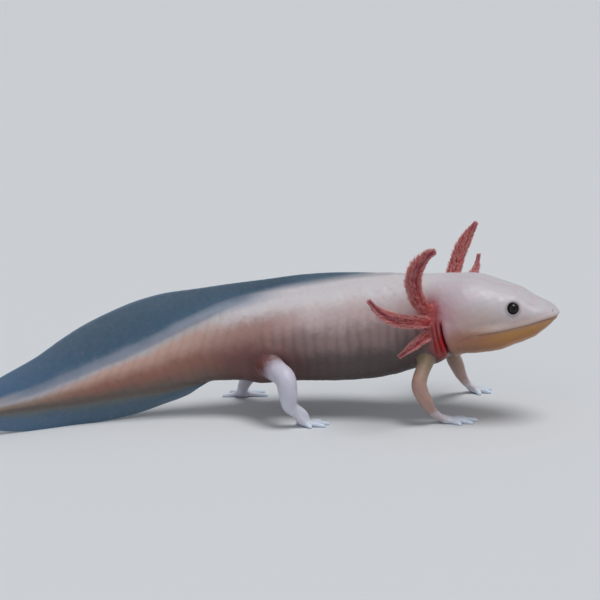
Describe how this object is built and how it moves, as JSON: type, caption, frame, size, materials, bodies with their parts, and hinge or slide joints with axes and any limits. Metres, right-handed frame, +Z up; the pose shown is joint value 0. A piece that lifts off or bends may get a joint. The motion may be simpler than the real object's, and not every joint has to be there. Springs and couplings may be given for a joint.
{
  "type": "axolotl",
  "caption": "Life-size still model of a pale axolotl walking, with a broad flat head, feathery red gills, a bent body, webless toes and a tall fin along back and tail.",
  "frame": {"origin": "on the floor under the middle of the model's bounding box", "axes": "+X is the way the animal walks, +Z is up, its right side faces -Y"},
  "size_m": [0.2236, 0.0884, 0.0688],
  "materials": {
    "skin": "moist, smooth, slightly translucent amphibian skin: white back, pink flanks, salmon tail, yellow throat",
    "fin": "thin milky grey-blue translucent fin skin, moist",
    "gill": "blood-red soft gill stalks with fine pale-edged filaments, moist",
    "eye": "glossy black eye, lidless"
  },
  "bodies": {
    "root": {"lower_jaw": "skin", "head": "skin", "eye_left": "eye", "eye_right": "eye", "neck": "skin", "trunk_front": "skin", "trunk_rear": "skin", "tail_base": "skin", "tail_middle": "skin", "tail_tip": "skin", "dorsal_fin": "fin", "tail_fin_upper_front": "fin", "tail_fin_upper_back": "fin", "tail_fin_lower_front": "fin", "tail_fin_lower_back": "fin", "gill_right_upper": "gill", "gill_right_middle": "gill", "gill_right_lower": "gill", "gill_left_upper": "gill", "gill_left_middle": "gill", "gill_left_lower": "gill", "upper_arm_right": "skin", "forearm_right": "skin", "hand_right": "skin", "upper_arm_left": "skin", "forearm_left": "skin", "hand_left": "skin", "thigh_right": "skin", "shank_right": "skin", "foot_right": "skin", "thigh_left": "skin", "shank_left": "skin", "foot_left": "skin"}
  },
  "joints": []
}
